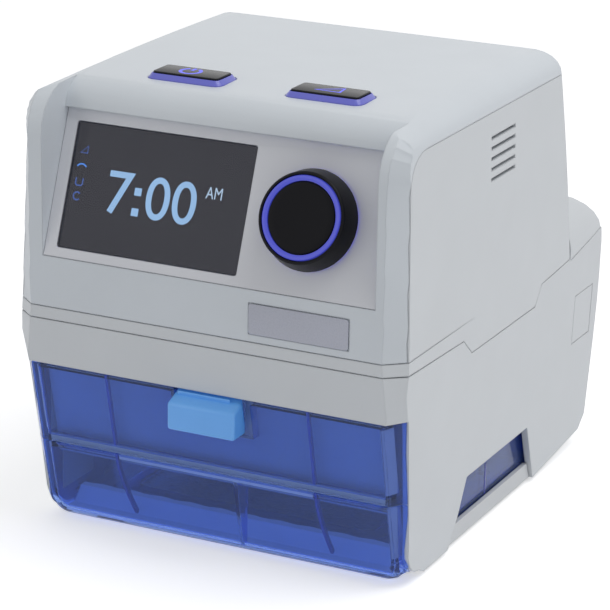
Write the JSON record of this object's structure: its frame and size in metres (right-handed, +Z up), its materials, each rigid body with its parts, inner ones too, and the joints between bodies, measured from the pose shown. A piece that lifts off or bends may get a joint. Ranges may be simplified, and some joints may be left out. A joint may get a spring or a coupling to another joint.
{
  "type": "breathing therapy air machine",
  "caption": "Bedside air machine on a heated humidifier base: tilted display and light-ring knob, push buttons on top, clear blue water tank that slides out in front, round hose outlet behind.",
  "frame": {"origin": "centre of the bounding box, at the bottom of the feet", "axes": "+X right, +Y to the back, +Z up, the display and tank face -Y"},
  "size_m": [0.165, 0.2294, 0.184],
  "materials": {
    "pale_shell": "fine satin",
    "side_shell": "fine satin",
    "panel_shell": "fine satin",
    "bare_plate": "satin",
    "green_board": "circuit board",
    "blue_skirt": "lit, translucent",
    "black_plastic": "satin",
    "inner_plastic": "moulded",
    "dark_metal": "dull",
    "bright_steel": "bright",
    "filter_foam": "open foam",
    "dark_lens": "smoked, clear",
    "screen": "dark display",
    "ring_light": "lit",
    "insulator": "heat-resistant frame",
    "blue_tank": "clear blue",
    "blue_latch": "satin",
    "black_rubber": "matt",
    "clear_rubber": "soft silicone"
  },
  "bodies": {
    "base": {"base_housing": "side_shell", "tower_cap": "side_shell", "base_floor": "inner_plastic", "heater_plate": "bright_steel", "heater_insulator": "insulator", "heater_element": "dark_metal", "heater_board": "green_board", "dock_connector": "black_plastic", "air_duct": "inner_plastic", "humid_duct": "inner_plastic", "outlet_port": "inner_plastic", "tank_inlet_seal": "clear_rubber", "tank_outlet_seal": "clear_rubber", "rubber_foot_1": "black_rubber", "rubber_foot_2": "black_rubber", "rubber_foot_3": "black_rubber", "rubber_foot_4": "black_rubber"},
    "generator": {"top_cover": "pale_shell", "main_housing": "side_shell", "chassis_tray": "side_shell", "front_bezel": "panel_shell", "nameplate": "bare_plate", "button_board": "green_board", "blower_lower_housing": "inner_plastic", "blower_upper_housing": "inner_plastic", "motor": "dark_metal", "inlet_muffler": "inner_plastic", "air_filter": "filter_foam", "main_board": "green_board", "memory_card": "black_plastic", "power_jack": "black_plastic", "blower_outlet_duct": "inner_plastic", "chassis_screw_1": "bright_steel", "chassis_screw_2": "bright_steel", "chassis_screw_3": "bright_steel", "chassis_screw_4": "bright_steel", "display_lens": "dark_lens", "lcd_module": "screen", "display_board": "green_board", "encoder_body": "dark_metal"},
    "power_button": {"power_button_lens": "blue_skirt", "power_button_cap": "black_plastic"},
    "ramp_button": {"ramp_button_lens": "blue_skirt", "ramp_button_cap": "black_plastic"},
    "knob_shaft": {"encoder_shaft": "bright_steel"},
    "knob": {"knob_skirt": "black_plastic", "knob_light_ring": "ring_light", "knob_cap": "black_plastic"},
    "fan": {"impeller": "inner_plastic"},
    "filter_hatch": {"filter_cover": "side_shell"},
    "card_hatch": {"card_door": "side_shell"},
    "tank": {"tank_tub": "blue_tank", "tank_lid": "blue_tank", "tank_gasket": "clear_rubber", "tank_base_plate": "bright_steel", "latch_spring": "bright_steel"},
    "latch": {"tank_latch": "blue_latch"},
    "right_tab": {"release_tab_right": "side_shell"},
    "left_tab": {"release_tab_left": "side_shell"}
  },
  "joints": [
    {"name": "unit_lift", "type": "slide", "parent": "base", "child": "generator", "axis": [0, 0, 1], "range_m": [0, 0.06]},
    {"name": "power_button_press", "type": "slide", "parent": "generator", "child": "power_button", "axis": [0, 0, -1], "range_m": [0, 0.001], "stiffness_N_per_m": 500, "springref_m": -0.001},
    {"name": "ramp_button_press", "type": "slide", "parent": "generator", "child": "ramp_button", "axis": [0, 0, -1], "range_m": [0, 0.001], "stiffness_N_per_m": 500, "springref_m": -0.001},
    {"name": "knob_press", "type": "slide", "parent": "generator", "child": "knob_shaft", "axis": [0, 0.9361, -0.3518], "range_m": [0, 0.0008], "stiffness_N_per_m": 800, "springref_m": -0.001},
    {"name": "knob_turn", "type": "hinge", "parent": "knob_shaft", "child": "knob", "pos_m": [0.0404, -0.09929, 0.1425], "axis": [0, -0.9361, 0.3518], "continuous": true},
    {"name": "fan_spin", "type": "hinge", "parent": "generator", "child": "fan", "pos_m": [0.018, -0.0134, 0.11], "axis": [0, 0, 1], "continuous": true},
    {"name": "filter_hatch_swing", "type": "hinge", "parent": "generator", "child": "filter_hatch", "pos_m": [0.03, 0.0542, 0.1283], "axis": [-1, 0, 0], "range_deg": [0, 95]},
    {"name": "card_hatch_swing", "type": "hinge", "parent": "generator", "child": "card_hatch", "pos_m": [-0.08228, 0.0086, 0.0973], "axis": [0, -1, 0], "range_deg": [0, 100]},
    {"name": "tank_slide", "type": "slide", "parent": "base", "child": "tank", "axis": [0, -1, 0], "range_m": [0, 0.15]},
    {"name": "latch_press", "type": "slide", "parent": "tank", "child": "latch", "axis": [0, 0, -1], "range_m": [0, 0.003], "stiffness_N_per_m": 400, "springref_m": -0.002, "deforming": ["latch_spring"]},
    {"name": "right_tab_squeeze", "type": "hinge", "parent": "base", "child": "right_tab", "pos_m": [0.0788, 0.0692, 0.0615], "axis": [0, 0, 1], "range_deg": [0, 6], "stiffness_Nm_per_rad": 1, "springref_deg": -2.86},
    {"name": "left_tab_squeeze", "type": "hinge", "parent": "base", "child": "left_tab", "pos_m": [-0.0788, 0.0692, 0.0615], "axis": [0, 0, -1], "range_deg": [0, 6], "stiffness_Nm_per_rad": 1, "springref_deg": -2.86}
  ]
}
